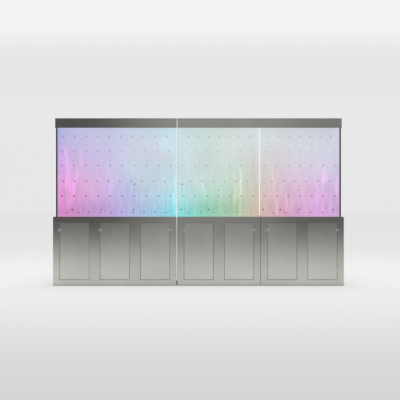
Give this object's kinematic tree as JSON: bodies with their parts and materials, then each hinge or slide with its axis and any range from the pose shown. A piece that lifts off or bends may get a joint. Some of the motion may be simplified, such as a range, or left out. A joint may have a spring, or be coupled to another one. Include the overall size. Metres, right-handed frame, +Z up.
{
  "type": "bubble wall",
  "caption": "Freestanding bubble wall: edge-lit water tanks with bracing pins and bubble bars, on steel cabinets with flush push-latch doors, under lift-off steel caps.",
  "frame": {"origin": "middle of the footprint, on the floor", "axes": "+X to the right along the wall, +Y to the back, +Z up; the doors face -Y"},
  "size_m": [3.5, 0.3261, 2.032],
  "materials": {
    "brushed_stainless": "brushed",
    "dark_stainless": "brushed",
    "clear_acrylic": "polished",
    "diffusing_acrylic": "satin",
    "edge_lit_acrylic": "satin",
    "opal_acrylic": "satin",
    "air_line_nylon": "moulded",
    "light_bar_aluminium": "anodised",
    "pump_casting": "cast and painted",
    "black_knob_plastic": "moulded",
    "silicone_hose": "satin",
    "nickel_brass": "nickel plated",
    "red_lever_grip": "dipped",
    "power_unit_plastic": "moulded",
    "steel_plunger": "ground"
  },
  "bodies": {
    "root": {"cabinet_left": "brushed_stainless", "fascia_left": "brushed_stainless", "back_panel_left": "brushed_stainless", "tank_front_left": "clear_acrylic", "tank_back_left": "diffusing_acrylic", "tank_frame_left": "edge_lit_acrylic", "bubble_bar_left": "air_line_nylon", "light_bar_left": "light_bar_aluminium", "drain_valve_left": "nickel_brass", "air_pump_left": "pump_casting", "air_hose_left": "silicone_hose", "cabinet_middle": "brushed_stainless", "fascia_middle": "brushed_stainless", "back_panel_middle": "brushed_stainless", "tank_front_middle": "clear_acrylic", "tank_back_middle": "diffusing_acrylic", "tank_frame_middle": "edge_lit_acrylic", "bubble_bar_middle": "air_line_nylon", "light_bar_middle": "light_bar_aluminium", "drain_valve_middle": "nickel_brass", "air_pump_middle": "pump_casting", "air_hose_middle": "silicone_hose", "cabinet_right": "brushed_stainless", "fascia_right": "brushed_stainless", "back_panel_right": "brushed_stainless", "tank_front_right": "clear_acrylic", "tank_back_right": "diffusing_acrylic", "tank_frame_right": "edge_lit_acrylic", "bubble_bar_right": "air_line_nylon", "light_bar_right": "light_bar_aluminium", "drain_valve_right": "nickel_brass", "air_pump_right": "pump_casting", "air_hose_right": "silicone_hose", "side_post_left": "dark_stainless", "side_post_right": "dark_stainless", "lit_divider": "opal_acrylic", "power_unit": "power_unit_plastic"},
    "drain_lever_left": {"drain_lever_left": "red_lever_grip"},
    "flow_knob_left": {"flow_knob_left": "black_knob_plastic"},
    "door_1": {"door_1": "brushed_stainless"},
    "latch_plunger_1": {"latch_plunger_1": "steel_plunger"},
    "door_2": {"door_2": "brushed_stainless"},
    "latch_plunger_2": {"latch_plunger_2": "steel_plunger"},
    "door_3": {"door_3": "brushed_stainless"},
    "latch_plunger_3": {"latch_plunger_3": "steel_plunger"},
    "drain_lever_middle": {"drain_lever_middle": "red_lever_grip"},
    "flow_knob_middle": {"flow_knob_middle": "black_knob_plastic"},
    "door_4": {"door_4": "brushed_stainless"},
    "latch_plunger_4": {"latch_plunger_4": "steel_plunger"},
    "door_5": {"door_5": "brushed_stainless"},
    "latch_plunger_5": {"latch_plunger_5": "steel_plunger"},
    "drain_lever_right": {"drain_lever_right": "red_lever_grip"},
    "flow_knob_right": {"flow_knob_right": "black_knob_plastic"},
    "door_6": {"door_6": "brushed_stainless"},
    "latch_plunger_6": {"latch_plunger_6": "steel_plunger"},
    "door_7": {"door_7": "brushed_stainless"},
    "latch_plunger_7": {"latch_plunger_7": "steel_plunger"},
    "power_rocker": {"power_rocker": "black_knob_plastic"},
    "cap_left": {"cap_left": "brushed_stainless"},
    "cap_right": {"cap_right": "brushed_stainless"}
  },
  "joints": [
    {"name": "drain_lever_left_turn", "type": "hinge", "parent": "root", "child": "drain_lever_left", "pos_m": [-1.6762, -0.0273, 0.7375], "axis": [0, 1, 0], "range_deg": [0, 90]},
    {"name": "flow_knob_left_turn", "type": "hinge", "parent": "root", "child": "flow_knob_left", "pos_m": [-0.5503, -0.0243, 0.0533], "axis": [0, -1, 0], "range_deg": [0, 270]},
    {"name": "door_1_swing", "type": "hinge", "parent": "root", "child": "door_1", "pos_m": [-1.67, -0.1633, 0.415], "axis": [0, 0, -1], "range_deg": [0, 100]},
    {"name": "latch_plunger_1_push", "type": "slide", "parent": "root", "child": "latch_plunger_1", "axis": [0, 1, 0], "range_m": [0, 0.003], "stiffness_N_per_m": 200, "springref_m": -0.003},
    {"name": "door_2_swing", "type": "hinge", "parent": "root", "child": "door_2", "pos_m": [-1.185, -0.1633, 0.415], "axis": [0, 0, -1], "range_deg": [0, 100]},
    {"name": "latch_plunger_2_push", "type": "slide", "parent": "root", "child": "latch_plunger_2", "axis": [0, 1, 0], "range_m": [0, 0.003], "stiffness_N_per_m": 200, "springref_m": -0.003},
    {"name": "door_3_swing", "type": "hinge", "parent": "root", "child": "door_3", "pos_m": [-0.345, -0.1633, 0.415], "axis": [0, 0, 1], "range_deg": [0, 100]},
    {"name": "latch_plunger_3_push", "type": "slide", "parent": "root", "child": "latch_plunger_3", "axis": [0, 1, 0], "range_m": [0, 0.003], "stiffness_N_per_m": 200, "springref_m": -0.003},
    {"name": "drain_lever_middle_turn", "type": "hinge", "parent": "root", "child": "drain_lever_middle", "pos_m": [-0.1887, -0.0273, 0.7375], "axis": [0, 1, 0], "range_deg": [0, 90]},
    {"name": "flow_knob_middle_turn", "type": "hinge", "parent": "root", "child": "flow_knob_middle", "pos_m": [0.4607, -0.0243, 0.0533], "axis": [0, -1, 0], "range_deg": [0, 270]},
    {"name": "door_4_swing", "type": "hinge", "parent": "root", "child": "door_4", "pos_m": [-0.174, -0.1633, 0.415], "axis": [0, 0, -1], "range_deg": [0, 100]},
    {"name": "latch_plunger_4_push", "type": "slide", "parent": "root", "child": "latch_plunger_4", "axis": [0, 1, 0], "range_m": [0, 0.003], "stiffness_N_per_m": 200, "springref_m": -0.003},
    {"name": "door_5_swing", "type": "hinge", "parent": "root", "child": "door_5", "pos_m": [0.666, -0.1633, 0.415], "axis": [0, 0, 1], "range_deg": [0, 100]},
    {"name": "latch_plunger_5_push", "type": "slide", "parent": "root", "child": "latch_plunger_5", "axis": [0, 1, 0], "range_m": [0, 0.003], "stiffness_N_per_m": 200, "springref_m": -0.003},
    {"name": "drain_lever_right_turn", "type": "hinge", "parent": "root", "child": "drain_lever_right", "pos_m": [0.8153, -0.0273, 0.7375], "axis": [0, 1, 0], "range_deg": [0, 90]},
    {"name": "flow_knob_right_turn", "type": "hinge", "parent": "root", "child": "flow_knob_right", "pos_m": [1.4562, -0.0243, 0.0533], "axis": [0, -1, 0], "range_deg": [0, 270]},
    {"name": "door_6_swing", "type": "hinge", "parent": "root", "child": "door_6", "pos_m": [0.83, -0.1633, 0.415], "axis": [0, 0, -1], "range_deg": [0, 100]},
    {"name": "latch_plunger_6_push", "type": "slide", "parent": "root", "child": "latch_plunger_6", "axis": [0, 1, 0], "range_m": [0, 0.003], "stiffness_N_per_m": 200, "springref_m": -0.003},
    {"name": "door_7_swing", "type": "hinge", "parent": "root", "child": "door_7", "pos_m": [1.67, -0.1633, 0.415], "axis": [0, 0, 1], "range_deg": [0, 100]},
    {"name": "latch_plunger_7_push", "type": "slide", "parent": "root", "child": "latch_plunger_7", "axis": [0, 1, 0], "range_m": [0, 0.003], "stiffness_N_per_m": 200, "springref_m": -0.003},
    {"name": "power_rocker_tilt", "type": "hinge", "parent": "root", "child": "power_rocker", "pos_m": [-1.314, 0.15618, 0.33], "axis": [1, 0, 0], "range_deg": [0, 16]},
    {"name": "cap_left_lift", "type": "slide", "parent": "root", "child": "cap_left", "axis": [0, 0, 1], "range_m": [0, 0.2]},
    {"name": "cap_right_lift", "type": "slide", "parent": "root", "child": "cap_right", "axis": [0, 0, 1], "range_m": [0, 0.2]}
  ]
}
